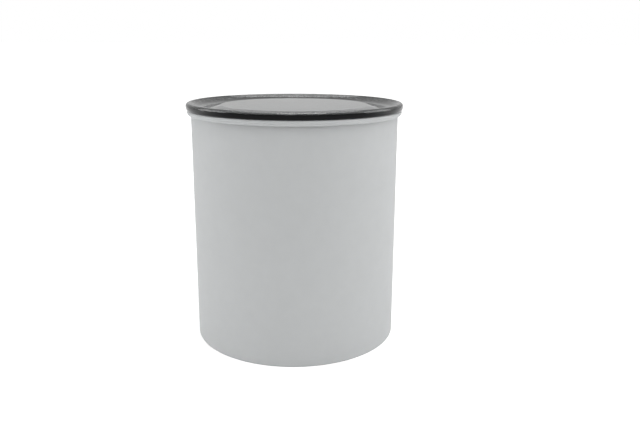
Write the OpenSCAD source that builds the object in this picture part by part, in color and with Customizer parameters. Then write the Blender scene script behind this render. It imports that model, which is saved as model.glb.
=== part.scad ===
// Round steel coffee canister: a powder-coated drum with a rolled lip, a clear smoke lid with a
// black sealing ring, and an inner plunger lid whose folding handle opens a vent valve.
// Millimetres, +Z up, origin at the centre of the base.

/* [Canister] */
// Outside diameter of the drum
canister_d = 172; // [150:1:190]
// Height of the drum, from the table to the top of its lip
canister_h = 193.7; // [180:0.1:240]
// Thickness of the steel sheet
wall_t = 0.8; // [0.6:0.1:1]
// Outside corner radius at the foot
foot_corner = 1; // [0.6:0.1:1.5]
// Width of the turned-in foot flange
foot_flange = 4; // [3:0.5:8]
// How far the rolled lip stands out from the drum
lip_out = 3; // [2.4:0.1:3.4]
// Height of the rolled lip
lip_h = 4.6; // [4.4:0.1:7]
// Corner radius of the rolled lip's top
lip_corner = 1.1; // [1:0.1:1.2]
// Slit that stays open under the rolled lip
lip_slit = 0.35; // [0.2:0.05:0.5]
// Thickness of the base pan
base_t = 0.8; // [0.6:0.1:1.2]
// Width of the base pan's welded rim
base_rim = 5; // [4:0.5:8]
// Width of the sloping step in the base pan
base_step = 4; // [3:0.5:8]
// Rise of the base pan's floor over its rim
base_rise = 2.2; // [1:0.1:4]

/* [Outer lid] */
// Height of the lid's rim over the canister's lip
lid_rise = 5.8; // [5.2:0.1:8]
// Thickness of the clear panel
panel_t = 2; // [1.6:0.1:2.4]
// Width of the lid's rim, from its outside to the start of the bowl
rim_w = 3.9; // [3.5:0.1:4.5]
// Rounding of the lid's outer edge
edge_round = 2.4; // [2.2:0.1:2.8]
// Height of clear edge that shows over the black ring
edge_h = 2.1; // [1.4:0.1:2.1]
// Width of the concave bowl inside the rim
bowl_w = 13.6; // [12:0.1:16]
// Depth of the bowl's lowest line under the rim
valley_depth = 5; // [4:0.1:5.5]
// Width of the slope between the bowl and the raised centre
slope_w = 11.1; // [8:0.1:14]
// Drop of the raised centre under the rim
plateau_drop = 2.2; // [1.5:0.1:3]
// Rounding of the raised centre's edge
plateau_round = 1; // [0.5:0.1:1.5]
// Thickness of the panel's hanging skirt
skirt_t = 1.8; // [1.4:0.1:2.4]
// Width of the ring at its top, outside the skirt's root
ring_top_w = 3; // [2.6:0.1:3.4]
// How far the lid stands out past the lip
ring_over = 1; // [0.8:0.1:2]
// Draft of the ring's outer wall towards its foot
ring_draft = 0.6; // [0.4:0.05:0.8]
// Thickness of the ring where it lies on the lip, beside the skirt
ring_floor = 1.1; // [0.8:0.1:1.4]
// Depth of the ring's plug inside the mouth
plug_depth = 6; // [5:0.5:10]
// Thickness of the ring's plug
plug_t = 1; // [0.8:0.1:1.4]
// Height of each sealing rib on the plug
rib_h = 0.5; // [0.3:0.1:0.8]
// Number of sealing ribs on the plug
rib_count = 2; // [1:1:3]

/* [Plunger] */
// Height of the plunger's underside over the table, as it is stored
plunger_z = 100; // [80:1:102]
// Thickness of both plunger mouldings
deck_t = 2.4; // [2:0.1:3]
// Radial reach of the silicone wiper past the mouldings
wiper_reach = 4.9; // [4:0.1:6]
// Thickness of the wiper's clamped web
web_t = 2; // [1.6:0.1:2.4]
// Width of the wiper's clamped web
web_w = 4; // [3:0.5:6]
// Height of each wiper lip
wiper_lip_h = 5; // [3:0.5:6]
// Thickness of a wiper lip at its tip
wiper_tip = 0.8; // [0.6:0.1:1.2]
// Height of the air space between the two mouldings
plenum_h = 5.6; // [5:0.1:8]
// Height of the deck's outer wall over its floor
deck_wall_h = 20; // [12:1:24]
// Thickness of the deck's outer wall
deck_wall_t = 2.4; // [2:0.1:3]
// Circle radius of the four plate screws
plate_screw_r = 62; // [56:1:66]
// Shank diameter of the screws
screw_d = 3; // [2.5:0.1:3.5]
// Head diameter of the screws
screw_head_d = 5.6; // [5:0.1:6.5]
// Head height of the screws
screw_head_h = 2; // [1.6:0.1:2.4]
// Diameter of the screw bosses
boss_d = 8; // [7:0.5:10]
// How far the housing's screw bosses hang under the deck
boss_drop = 3; // [2.5:0.1:4]
// Thickness left under each blind screw hole
boss_end = 1; // [0.6:0.1:1.4]
// Diameter of each vent hole in the plate
vent_hole_d = 3.2; // [2:0.2:3.6]
// Circle radius of the inner vent holes
vent_inner_r = 5; // [4.5:0.5:6]
// Circle radius of the outer vent holes
vent_outer_r = 10.5; // [10:0.5:12]
// Diameter of the woven filter over the vent holes
filter_d = 30; // [28:1:36]
// Thickness of the woven filter
filter_t = 0.5; // [0.3:0.1:0.8]
// Height and width of the rim that locates the filter
filter_rim = 1.2; // [0.8:0.1:1.6]

/* [Valve] */
// Lift of the valve when the handle stands up
valve_lift = 3; // [2:0.1:3.5]
// Diameter of the opening in the valve seat
seat_bore = 15; // [13:0.5:16]
// Outside diameter of the valve seat's body
seat_d = 24; // [23:0.5:26]
// Height of the seat's raised lip
seat_lip_h = 0.6; // [0.4:0.1:1]
// Width of the seat's raised lip
seat_lip_w = 1.5; // [1:0.1:2]
// Width of the flange that holds the seat from below
seat_flange_w = 1.5; // [1:0.1:2]
// Thickness of the flange that holds the seat from below
seat_flange_t = 1; // [0.8:0.1:1.5]
// Thickness of the silicone plug
plug_h = 3; // [2:0.1:4]
// How far the silicone plug covers the seat's bore all round
plug_over = 3; // [2:0.1:3.5]
// Diameter of the valve stem
stem_d = 5; // [4:0.1:5.5]
// Diameter of the stem's flange over the plug
stem_flange_d = 12; // [11:0.5:14]
// Thickness of the stem's flange
stem_flange_t = 1.4; // [1:0.1:2]
// Thickness of the clip under the plug
clip_t = 1; // [0.8:0.1:1.2]
// Outside diameter of the clip under the plug
clip_d = 9.6; // [8.5:0.1:11]
// Depth of the clip's groove in the stem
clip_groove = 0.6; // [0.4:0.1:0.8]
// Length of the fitted spring
spring_l = 7; // [6.5:0.1:9]
// Mean diameter of the spring
spring_d = 8.6; // [8:0.1:9.5]
// Diameter of the spring wire
spring_wire = 0.8; // [0.5:0.1:0.8]
// Number of spring turns
spring_turns = 4; // [3:1:4]
// Inside diameter of the valve housing
housing_bore = 28.4; // [28:0.1:30]
// Thickness of the housing's wall
housing_wall = 2.3; // [2:0.1:3]
// Thickness of the housing's top
housing_top_t = 2; // [1.6:0.1:2.6]
// Width of the housing's screw flange
housing_flange_w = 7.5; // [7:0.5:9]
// Number of air windows round the housing
window_count = 6; // [4:1:6]
// Width of each air window
window_w = 7; // [4:0.5:8]
// Height of each air window
window_h = 7; // [4:0.5:8]
// Height of the windows' sill over the deck
window_sill = 3.4; // [3:0.1:4]
// Thickness of the housing's screw flange
housing_flange_t = 2.4; // [2:0.1:3]

/* [Handle] */
// Distance from the handle's pivot to the middle of its bar
bail_l = 44; // [38:1:44]
// Distance from the middle of the canister to the middle of each handle arm
bail_half_w = 41; // [40:0.5:46]
// Corner radius of the handle, at the middle of the bar
bail_corner = 16; // [10:1:20]
// Diameter of the handle's bar
bar_d = 8; // [7:0.5:10]
// Diameter of the handle's hubs
hub_d = 13; // [12:0.5:15]
// Length of each hub
hub_l = 9; // [8:0.5:10]
// Diameter of the cam shaft
shaft_d = 5; // [4.5:0.1:5.5]
// Diameter of the cam
cam_d = 8.4; // [8:0.1:9]
// Length of the cam
cam_l = 8; // [7:0.5:10]
// Thickness of the stem's yoke, along the shaft
yoke_t = 6; // [4:0.5:7]
// Thickness of the yoke's frame round the cam
yoke_rim = 2.4; // [2:0.1:3]
// Thickness of each bearing ear
ear_t = 4; // [3:0.5:5]
// Width of each bearing ear
ear_w = 14; // [12:0.5:16]
// Wall of the bearing bushes
bush_t = 1.5; // [1:0.1:2]
// Thickness of the bushes' flange
bush_flange_t = 0.5; // [0.4:0.1:0.8]
// Diameter of the cross pins that fix the shaft in the hubs
pin_d = 1.8; // [1.5:0.1:2]
// Width of the post that the folded handle rests on
post_w = 12; // [8:1:16]

/* [Clearances] */
// Gap between the drum and the pieces that slide in it
slide_clear = 0.3; // [0.2:0.05:0.5]
// Radial gap of a turning or guided shaft
run_clear = 0.05; // [0.03:0.01:0.08]
// Gap beside a turning face and under a resting bar
face_clear = 0.2; // [0.15:0.05:0.4]
// Gap that stays under the plunger at the bottom of its travel
floor_clear = 2; // [1:0.5:4]

/* [Hidden] */
$fn = 96;
arc_steps = 8;
bowl_steps = 12;
top_chamfer = 0.8;
curl_rings = 8;
wire_sides = 6;

// Canister, from the outside in
canister_r = canister_d / 2;
wall_in_r = canister_r - wall_t;
lip_r = canister_r + lip_out;
lip_foot_z = canister_h - lip_h;
curl_gap_r = (lip_out - wall_t) / 2;
roll_round = lip_h - wall_t - curl_gap_r;
roll_r = lip_r - roll_round;
roll_end = acos((canister_r + lip_slit - roll_r) / (roll_round - wall_t));
roll_z = lip_foot_z + roll_round * sin(roll_end);
pan_r = wall_in_r - slide_clear;
pan_floor_z = wall_t + base_rise + base_t;

// Outer lid, with heights counted down from the top of its rim
lid_top_z = canister_h + lid_rise;
lid_r = lip_r + ring_over;
edge_r = lid_r - edge_round + sqrt(pow(edge_round, 2) - pow(edge_round - edge_h, 2));
crest_r = lid_r - rim_w;
valley_r = crest_r - bowl_w;
plateau_r = valley_r - slope_w;
bowl_round = (pow(bowl_w, 2) + pow(valley_depth, 2)) / (2 * valley_depth);
plug_r = wall_in_r - slide_clear - rib_h;
skirt_r = plug_r - plug_t;
skirt_in_r = skirt_r - skirt_t;
skirt_root = lid_rise - ring_floor;
ring_top_r = lid_r - ring_top_w;
plug_foot = lid_rise + plug_depth;
rib_pitch = plug_depth / (rib_count + 0.7);

// Plunger, with heights counted up from its underside
moulding_r = wall_in_r - slide_clear - wiper_reach;
web_z = deck_t + plenum_h - web_t;
deck_z = web_z + web_t;
deck_floor_z = deck_z + deck_t;
plunger_travel = plunger_z - pan_floor_z - floor_clear;

// Valve
seat_r = seat_d / 2;
seat_top_z = deck_floor_z + 1.6;
plug_z = seat_top_z + seat_lip_h;
flange_z = plug_z + plug_h;
spring_z = flange_z + stem_flange_t;
housing_ceiling_z = spring_z + spring_l;
housing_top_z = housing_ceiling_z + housing_top_t;
housing_r = housing_bore / 2 + housing_wall;
housing_flange_r = housing_r + housing_flange_w;
housing_screw_r = housing_r + housing_flange_w / 2;
housing_screw_l = housing_flange_t + deck_t + boss_drop - boss_end - face_clear;
plate_screw_l = deck_t + plenum_h - boss_end - face_clear;
window_z = deck_floor_z + window_sill;

// Cam and handle: the cam stands 45 degrees below its shaft when folded, and 45 above when raised
cam_offset = valve_lift / 2;
cam_gap = slide_clear;
window_half = cam_d / 2 + cam_gap;
window_half_w = window_half + cam_offset * sqrt(2);
yoke_z = housing_top_z + 1;
shaft_z = yoke_z + yoke_rim + window_half + cam_offset;
window_z_mid = shaft_z - cam_offset;
stem_foot_z = plug_z - clip_t - 1.5;
hub_in_x = bail_half_w - hub_l / 2;
ear_x = hub_in_x - face_clear - bush_flange_t - ear_t;
bush_r = shaft_d / 2 + run_clear + bush_t;
shaft_end_x = hub_in_x + hub_l;
post_top_z = shaft_z - bar_d / 2 - face_clear;
arm_l = bail_l - bail_corner;
corner_x = bail_half_w - bail_corner;

// Points along an arc, from one angle to another
function arc(x, y, r, from, to) =
    [for (i = [0 : arc_steps]) let (a = from + (to - from) * i / arc_steps) [x + r * cos(a), y + r * sin(a)]];

// Height of the bowl's surface, or of the line a thickness t under it, at radius r
function bowl_z(r, t) = bowl_round - valley_depth - sqrt(pow(bowl_round + t, 2) - pow(r - valley_r, 2));

// A profile of radius and height, turned about the canister's axis
module turned(points) {
    rotate_extrude() polygon(points);
}

// A ring between two radii and two heights
module tube(outer, inner, low, high) {
    translate([0, 0, low]) difference() {
        cylinder(r = outer, h = high - low);
        translate([0, 0, -1]) cylinder(r = inner, h = high - low + 2);
    }
}

// A cylinder along X, between two places
module x_rod(r, from, to) {
    translate([from, 0, 0]) rotate([0, 90, 0]) cylinder(r = r, h = to - from);
}

// Copies on a circle
module around(count, radius, first = 0) {
    for (i = [0 : count - 1]) rotate([0, 0, first + i * 360 / count]) translate([radius, 0, 0]) children();
}

// Both sides of the handle's pivot
module both_sides() {
    children();
    mirror([1, 0, 0]) children();
}

// Places of the pieces
module on_plunger() {
    translate([0, 0, plunger_z]) children();
}

module on_shaft() {
    translate([0, 0, plunger_z + shaft_z]) children();
}

module at_plate_screws() {
    around(4, plate_screw_r, 45) children();
}

module at_housing_screws() {
    around(3, housing_screw_r, 90) children();
}

// Screw standing on z = 0: a pan head with a six-sided socket, over a shank of the given length
module pan_screw(length) {
    difference() {
        union() {
            cylinder(d = screw_head_d, h = screw_head_h * 0.6);
            translate([0, 0, screw_head_h * 0.6])
                cylinder(d1 = screw_head_d, d2 = screw_head_d * 0.7, h = screw_head_h * 0.4);
            translate([0, 0, -length]) cylinder(d = screw_d, h = length + screw_head_h / 2);
        }
        translate([0, 0, screw_head_h * 0.4]) cylinder(d = screw_d * 0.8, h = screw_head_h, $fn = 6);
    }
}

// Steel drum: turned-in foot, straight wall and a rolled lip that is open underneath
module canister_wall() {
    color("lightgray") turned(concat(
        [[wall_in_r - foot_flange, wall_t], [wall_in_r - foot_flange, 0]],
        arc(canister_r - foot_corner, foot_corner, foot_corner, -90, 0),
        arc(canister_r + curl_gap_r, canister_h - wall_t - curl_gap_r, curl_gap_r, 180, 20),
        arc(roll_r, roll_z, roll_round - wall_t, 0, -roll_end),
        arc(roll_r, roll_z, roll_round, -roll_end, 0),
        arc(lip_r - lip_corner, canister_h - lip_corner, lip_corner, 0, 90),
        arc(wall_in_r + lip_corner, canister_h - lip_corner, lip_corner, 90, 180),
        [[wall_in_r, wall_t]]
    ));
}

// Steel base pan, welded on the foot flange, with its floor raised off the table
module canister_base() {
    floor_r = pan_r - base_rim - base_step;
    color("silver") turned([
        [0, wall_t + base_rise], [floor_r, wall_t + base_rise], [floor_r + base_step, wall_t],
        [pan_r, wall_t], [pan_r, wall_t + base_t], [floor_r + base_step, wall_t + base_t],
        [floor_r, pan_floor_z], [0, pan_floor_z]
    ]);
}

// Clear smoke panel: rounded rim, concave bowl, raised flat centre and a hanging skirt
module lid_panel() {
    bowl_top = [for (i = [0 : bowl_steps]) let (r = valley_r + bowl_w * i / bowl_steps) [r, bowl_z(r, 0)]];
    bowl_under = [for (i = [bowl_steps : -1 : 0])
        let (r = valley_r + (skirt_in_r - valley_r) * i / bowl_steps) [r, bowl_z(r, panel_t)]];
    color("gray", 0.6) translate([0, 0, lid_top_z]) turned(concat(
        [[0, -plateau_drop]],
        arc(plateau_r - plateau_round, -plateau_drop - plateau_round, plateau_round, 90, 75),
        bowl_top,
        arc(lid_r - edge_round, -edge_round, edge_round, 90, asin(1 - edge_h / edge_round)),
        [[ring_top_r, -edge_h], [skirt_r, -skirt_root], [skirt_r, -plug_foot], [skirt_in_r, -plug_foot]],
        bowl_under,
        [[plateau_r - plateau_round, -plateau_drop - panel_t], [0, -plateau_drop - panel_t]]
    ));
}

// Soft black ring: it shows under the lid's edge, sits on the lip and plugs the mouth with ribs
module lid_ring() {
    ribs = [for (i = [0 : rib_count - 1]) let (z = -lid_rise - (i + 0.85) * rib_pitch)
        each [[plug_r, z + rib_h * 2], [plug_r + rib_h, z + rib_h * 0.5],
              [plug_r + rib_h, z - rib_h * 0.5], [plug_r, z - rib_h * 2]]];
    color("black") translate([0, 0, lid_top_z]) turned(concat(
        [[ring_top_r, -edge_h], [edge_r, -edge_h], [lid_r, -edge_round],
         [lid_r - ring_draft * 0.2, -(edge_round + lid_rise) / 2],
         [lid_r - ring_draft * 0.8, 0.4 - lid_rise], [lid_r - ring_draft, -lid_rise], [plug_r, -lid_rise]],
        ribs,
        [[plug_r, -plug_foot], [skirt_r, -plug_foot], [skirt_r, -skirt_root]]
    ));
}

// Upper plunger moulding: a dish with the valve's bore, bearing ears and the handle's rest
module plunger_deck() {
    color("dimgray") on_plunger() difference() {
        union() {
            turned([
                [0, deck_z], [moulding_r, deck_z], [moulding_r, deck_floor_z + deck_wall_h - top_chamfer],
                [moulding_r - top_chamfer, deck_floor_z + deck_wall_h],
                [moulding_r - deck_wall_t, deck_floor_z + deck_wall_h],
                [moulding_r - deck_wall_t, deck_floor_z], [0, deck_floor_z]
            ]);
            translate([0, 0, deck_z]) cylinder(r = housing_bore / 2 - slide_clear, h = seat_top_z - deck_z);
            at_housing_screws() translate([0, 0, deck_z - boss_drop]) cylinder(d = boss_d, h = boss_drop + 1);
            both_sides() bearing_ear();
            translate([-post_w / 2, -bail_l - bar_d / 2, deck_z + 1])
                cube([post_w, bar_d, post_top_z - deck_z - 1]);
        }
        translate([0, 0, deck_z - 1]) cylinder(r = seat_r + run_clear, h = seat_top_z - deck_z + 2);
        at_plate_screws() translate([0, 0, deck_z - 1]) cylinder(d = screw_d + 2 * run_clear, h = deck_t + 2);
        at_housing_screws() translate([0, 0, deck_z - boss_drop + boss_end])
            cylinder(d = screw_d + 2 * run_clear, h = boss_drop + deck_t);
    }
}

// One upright ear of the deck, with the bore for its bush
module bearing_ear() {
    difference() {
        union() {
            translate([ear_x, -ear_w / 2, deck_z + 1]) cube([ear_t, ear_w, shaft_z - deck_z - 1]);
            translate([0, 0, shaft_z]) x_rod(ear_w / 2, ear_x, ear_x + ear_t);
        }
        translate([0, 0, shaft_z]) x_rod(bush_r + run_clear, ear_x - 1, ear_x + ear_t + 1);
    }
}

// Lower plunger moulding: a plate with vent holes, screw bosses and a rim under the wiper's web
module plunger_plate() {
    filter_in_r = filter_d / 2 + slide_clear;
    color("dimgray") on_plunger() difference() {
        union() {
            turned([
                [0, 0], [moulding_r - top_chamfer, 0], [moulding_r, top_chamfer], [moulding_r, web_z],
                [moulding_r - web_w, web_z], [moulding_r - web_w, deck_t],
                [filter_in_r + filter_rim, deck_t], [filter_in_r + filter_rim, deck_t + filter_rim],
                [filter_in_r, deck_t + filter_rim], [filter_in_r, deck_t], [0, deck_t]
            ]);
            at_plate_screws() translate([0, 0, 1]) cylinder(d = boss_d, h = deck_z - 1);
        }
        at_plate_screws() translate([0, 0, deck_t + boss_end])
            cylinder(d = screw_d + 2 * run_clear, h = deck_z);
        around(6, vent_inner_r) translate([0, 0, -1]) cylinder(d = vent_hole_d, h = deck_t + 2);
        around(12, vent_outer_r, 15) translate([0, 0, -1]) cylinder(d = vent_hole_d, h = deck_t + 2);
    }
}

// Silicone wiper: a web clamped between the mouldings, and two lips that spread to the drum's wall
module wiper_gasket() {
    tip_r = moulding_r + wiper_reach;
    neck_r = moulding_r + wiper_tip;
    fork_r = moulding_r + wiper_reach / 2;
    mid_z = web_z + web_t / 2;
    color("gainsboro") on_plunger() turned([
        [moulding_r - web_w, web_z], [neck_r, web_z],
        [tip_r - wiper_tip, mid_z - web_t / 2 - wiper_lip_h], [tip_r, mid_z - web_t / 2 - wiper_lip_h],
        [tip_r, mid_z - wiper_lip_h], [fork_r, mid_z], [tip_r, mid_z + wiper_lip_h],
        [tip_r, mid_z + web_t / 2 + wiper_lip_h], [tip_r - wiper_tip, mid_z + web_t / 2 + wiper_lip_h],
        [neck_r, web_z + web_t], [moulding_r - web_w, web_z + web_t]
    ]);
}

// Four screws that clamp the two mouldings together
module plate_screws() {
    color("silver") on_plunger() at_plate_screws() translate([0, 0, deck_floor_z]) pan_screw(plate_screw_l);
}

// Fine woven steel disc that keeps the grounds out of the valve
module vent_filter() {
    color("silver") on_plunger() translate([0, 0, deck_t]) cylinder(d = filter_d, h = filter_t);
}

// Valve seat: a flanged ring in the deck's bore, with a raised lip that the plug closes on
module valve_seat() {
    bore_r = seat_bore / 2;
    color("silver") on_plunger() turned([
        [bore_r, deck_z - seat_flange_t], [seat_r + seat_flange_w, deck_z - seat_flange_t],
        [seat_r + seat_flange_w, deck_z], [seat_r, deck_z], [seat_r, seat_top_z],
        [bore_r + seat_lip_w, seat_top_z], [bore_r + seat_lip_w, plug_z], [bore_r, plug_z]
    ]);
}

// Valve housing: a screwed-down tower with air windows, which guides the stem and holds the spring
module valve_housing() {
    guide_r = stem_d / 2 + run_clear;
    color("dimgray") on_plunger() difference() {
        turned([
            [housing_bore / 2, deck_floor_z], [housing_flange_r, deck_floor_z],
            [housing_flange_r, deck_floor_z + housing_flange_t], [housing_r, deck_floor_z + housing_flange_t],
            [housing_r, housing_top_z - top_chamfer], [housing_r - top_chamfer, housing_top_z],
            [guide_r, housing_top_z], [guide_r, housing_ceiling_z], [housing_bore / 2, housing_ceiling_z]
        ]);
        around(window_count, housing_bore / 2 - 1) translate([0, -window_w / 2, window_z])
            cube([housing_wall + 2, window_w, window_h]);
        at_housing_screws() cylinder(d = screw_d + 2 * run_clear, h = housing_ceiling_z);
    }
}

// Three screws that hold the valve housing
module housing_screws() {
    color("silver") on_plunger() at_housing_screws() translate([0, 0, deck_floor_z + housing_flange_t])
        pan_screw(housing_screw_l);
}

// Valve stem: a rod with a flange over the plug, a clip groove, and a yoke round the cam
module valve_stem() {
    stem_r = stem_d / 2;
    frame_half_w = window_half_w + yoke_rim;
    color("silver") on_plunger() difference() {
        union() {
            turned([
                [0, stem_foot_z], [stem_r, stem_foot_z], [stem_r, plug_z - clip_t],
                [stem_r - clip_groove, plug_z - clip_t], [stem_r - clip_groove, plug_z], [stem_r, plug_z],
                [stem_r, flange_z], [stem_flange_d / 2, flange_z], [stem_flange_d / 2, spring_z],
                [stem_r, spring_z], [stem_r, yoke_z + yoke_rim / 2], [0, yoke_z + yoke_rim / 2]
            ]);
            translate([-yoke_t / 2, -frame_half_w, yoke_z])
                cube([yoke_t, 2 * frame_half_w, 2 * (window_half + yoke_rim)]);
        }
        translate([-yoke_t, -window_half_w, window_z_mid - window_half])
            cube([2 * yoke_t, 2 * window_half_w, 2 * window_half]);
    }
}

// Silicone plug that closes the seat
module valve_plug() {
    color("gainsboro") on_plunger()
        tube(seat_bore / 2 + plug_over, stem_d / 2 + run_clear, plug_z, flange_z);
}

// Clip in the stem's groove, under the plug
module stem_clip() {
    color("silver") on_plunger()
        tube(clip_d / 2, stem_d / 2 - clip_groove + run_clear, plug_z - clip_t, plug_z);
}

// Points of the spring's centreline, one list for each ring of the wire
function spring_path() =
    let (low = spring_z + spring_wire / 2 + run_clear,
         high = housing_ceiling_z - spring_wire / 2 - run_clear,
         rings = curl_rings * spring_turns)
    [for (i = [0 : rings]) let (a = 360 * i / curl_rings)
        [spring_d / 2 * cos(a), spring_d / 2 * sin(a), low + (high - low) * i / rings]];

// Spring: one steel wire wound round the stem, closing the valve
module valve_spring() {
    path = spring_path();
    last = len(path) - 1;
    points = [for (i = [0 : last]) let (a = 360 * i / curl_rings) for (k = [0 : wire_sides - 1])
        let (b = 360 * k / wire_sides)
        [path[i].x + spring_wire / 2 * cos(b) * cos(a), path[i].y + spring_wire / 2 * cos(b) * sin(a),
         path[i].z + spring_wire / 2 * sin(b)]];
    sides = [for (i = [0 : last - 1]) for (k = [0 : wire_sides - 1])
        let (here = i * wire_sides, next = here + wire_sides, k2 = (k + 1) % wire_sides)
        each [[here + k, next + k, next + k2], [here + k, next + k2, here + k2]]];
    ends = [for (k = [1 : wire_sides - 2])
        each [[0, k, k + 1], [last * wire_sides, last * wire_sides + k + 1, last * wire_sides + k]]];
    gap = min([for (i = [0 : last - curl_rings + 2]) for (j = [i + curl_rings - 2 : last])
        norm(path[i] - path[j])]) - spring_wire;
    echo(least_gap_between_spring_turns = gap);
    color("silver") on_plunger() polyhedron(points, concat(sides, ends));
}

// Folding handle: a round bar bent to a loop, with a hub at each end
module handle_bail() {
    color("dimgray") on_shaft() difference() {
        union() {
            both_sides() {
                x_rod(hub_d / 2, hub_in_x, shaft_end_x);
                translate([bail_half_w, 0, 0]) rotate([90, 0, 0]) cylinder(d = bar_d, h = arm_l);
                translate([corner_x, -arm_l, 0]) rotate([0, 0, -90]) rotate_extrude(angle = 90)
                    translate([bail_corner, 0]) circle(d = bar_d);
            }
            translate([0, -bail_l, 0]) x_rod(bar_d / 2, -corner_x, corner_x);
        }
        x_rod(shaft_d / 2 + run_clear, -shaft_end_x - 1, shaft_end_x + 1);
        both_sides() cross_pin(pin_d / 2 + run_clear, hub_d);
    }
}

// A cross pin, or its hole, through a hub
module cross_pin(r, length) {
    translate([bail_half_w, 0, -length / 2]) cylinder(r = r, h = length);
}

// Cam shaft: it turns with the handle, and its cam lifts the stem's yoke
module cam_shaft() {
    color("silver") on_shaft() difference() {
        union() {
            x_rod(shaft_d / 2, -shaft_end_x, shaft_end_x);
            translate([0, -cam_offset, -cam_offset]) x_rod(cam_d / 2, -cam_l / 2, cam_l / 2);
        }
        both_sides() cross_pin(pin_d / 2 + run_clear, hub_d);
    }
}

// Flanged bushes in the deck's ears
module shaft_bushes() {
    color("ivory") on_shaft() both_sides() difference() {
        union() {
            x_rod(bush_r, ear_x, ear_x + ear_t);
            x_rod(bush_r + bush_t, ear_x + ear_t, ear_x + ear_t + bush_flange_t);
        }
        x_rod(shaft_d / 2 + run_clear, ear_x - 1, ear_x + ear_t + bush_flange_t + 1);
    }
}

// Cross pins that fix the shaft in the handle's hubs
module shaft_pins() {
    color("silver") on_shaft() both_sides() cross_pin(pin_d / 2, hub_d - 2 * face_clear);
}

canister_wall();
canister_base();
lid_panel();
lid_ring();
plunger_deck();
plunger_plate();
wiper_gasket();
plate_screws();
vent_filter();
valve_seat();
valve_housing();
housing_screws();
valve_stem();
valve_plug();
stem_clip();
valve_spring();
handle_bail();
cam_shaft();
shaft_bushes();
shaft_pins();
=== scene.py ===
"""Looks of the coffee canister with valve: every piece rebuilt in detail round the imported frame."""
import math

import bmesh
import bpy
from mathutils import Matrix, Vector

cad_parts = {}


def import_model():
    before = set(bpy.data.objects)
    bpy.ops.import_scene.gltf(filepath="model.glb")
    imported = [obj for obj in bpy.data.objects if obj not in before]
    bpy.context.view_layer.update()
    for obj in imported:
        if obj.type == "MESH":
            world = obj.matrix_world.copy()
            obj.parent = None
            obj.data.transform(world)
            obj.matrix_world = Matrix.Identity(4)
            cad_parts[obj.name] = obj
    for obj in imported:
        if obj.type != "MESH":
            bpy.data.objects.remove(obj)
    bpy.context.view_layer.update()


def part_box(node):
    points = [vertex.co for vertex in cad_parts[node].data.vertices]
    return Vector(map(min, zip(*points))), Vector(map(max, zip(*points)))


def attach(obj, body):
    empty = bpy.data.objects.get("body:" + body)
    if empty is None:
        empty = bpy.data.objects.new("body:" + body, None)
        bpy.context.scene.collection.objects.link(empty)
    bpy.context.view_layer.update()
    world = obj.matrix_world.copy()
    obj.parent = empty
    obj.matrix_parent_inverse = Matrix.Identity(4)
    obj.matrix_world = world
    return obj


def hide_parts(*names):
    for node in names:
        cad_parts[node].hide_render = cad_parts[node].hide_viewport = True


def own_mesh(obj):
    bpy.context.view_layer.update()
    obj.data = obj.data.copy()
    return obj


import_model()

# Outlines and sizes are written in millimetres, and meshes are built in metres.
MM = 0.001
TURNS = 192
SMALL_TURNS = 48
ARC_STEP = math.radians(15)
SHARP_ANGLE = math.radians(38)
ON_AXIS = 1e-6


def low(node):
    """Lowest corner of a node of the frame, in millimetres."""
    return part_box(node)[0] / MM


def high(node):
    """Highest corner of a node of the frame, in millimetres."""
    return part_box(node)[1] / MM


# Sizes of the canister and its outer lid
canister_r = 86
sheet_t = 0.8
wall_in_r = canister_r - sheet_t
canister_top = high("canister_wall").z
lid_top = high("lid_panel").z
lid_r = high("lid_ring").x
lip_r = high("canister_wall").x
lip_foot = canister_top - 4.6

# Clearances: to the wall, and of parts that turn or slide in each other
wall_clear = 0.3
run_clear = 0.05

# How far a cutter runs past the face that it opens
past = 1

# Sizes of the handle, its shaft and the cam
bar_r = 4
hub_r, hub_l = 6.5, 9
shaft_r, pin_r = 2.5, 0.9
shaft_hole_r = shaft_r + run_clear
cam_r, cam_throw = 4.2, 1.5
bush_r = 4.05
ear_x, ear_t = 33.8, 4

# Places of the plunger and the handle
plunger_z = low("plunger_plate").z
moulding_r = high("plunger_deck").x
shaft_z = low("cam_shaft").z + cam_throw + cam_r
hub_out_x = high("handle_bail").x
arm_x = hub_out_x - hub_l / 2
bail_y = low("handle_bail").y + bar_r

# Heights in the plunger and its valve, above the plunger's lower face
plate_t = 2.4
web_low, web_high = 6, 8
deck_z, deck_floor = web_high, 10.4
seat_land, seat_top = 12, 12.6
flange_top = 12.8
groove_foot = 11.6
plug_h = 3
spring_foot, spring_ceiling = 17, 24

# Radii in the valve
stem_r = 2.5
stem_hole_r = stem_r + run_clear
seat_out_r = 12


# Outlines


def outline(*corners):
    """Points of a closed outline. A corner is (radius, height) or (radius, height, rounding)."""
    points = []
    for i, corner in enumerate(corners):
        here = Vector(corner[:2])
        if len(corner) == 2:
            points.append(here)
            continue
        before = Vector(corners[i - 1][:2]) - here
        after = Vector(corners[(i + 1) % len(corners)][:2]) - here
        half = before.angle(after) / 2
        reach = min(corner[2] / math.tan(half), before.length * 0.49, after.length * 0.49)
        before.normalize()
        after.normalize()
        centre = here + (before + after).normalized() * (reach / math.cos(half))
        first = here + before * reach - centre
        last = here + after * reach - centre
        start = math.atan2(first.y, first.x)
        sweep = (math.atan2(last.y, last.x) - start + math.pi) % math.tau - math.pi
        steps = max(2, math.ceil(abs(sweep) / ARC_STEP))
        for k in range(steps + 1):
            angle = start + sweep * k / steps
            points.append(centre + first.length * Vector((math.cos(angle), math.sin(angle))))
    return points


def steps_to(end, count):
    """Even steps from zero to an end value."""
    return [end * k / count for k in range(count + 1)]


def arc(x, y, radius, start, end, steps=8):
    """Points along an arc, from one angle to another in degrees."""
    angles = [math.radians(start + a) for a in steps_to(end - start, steps)]
    return [(x + radius * math.cos(a), y + radius * math.sin(a)) for a in angles]


def lifted(points, height):
    """The same outline at another height."""
    return [(r, z + height) for r, z in points]


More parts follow.
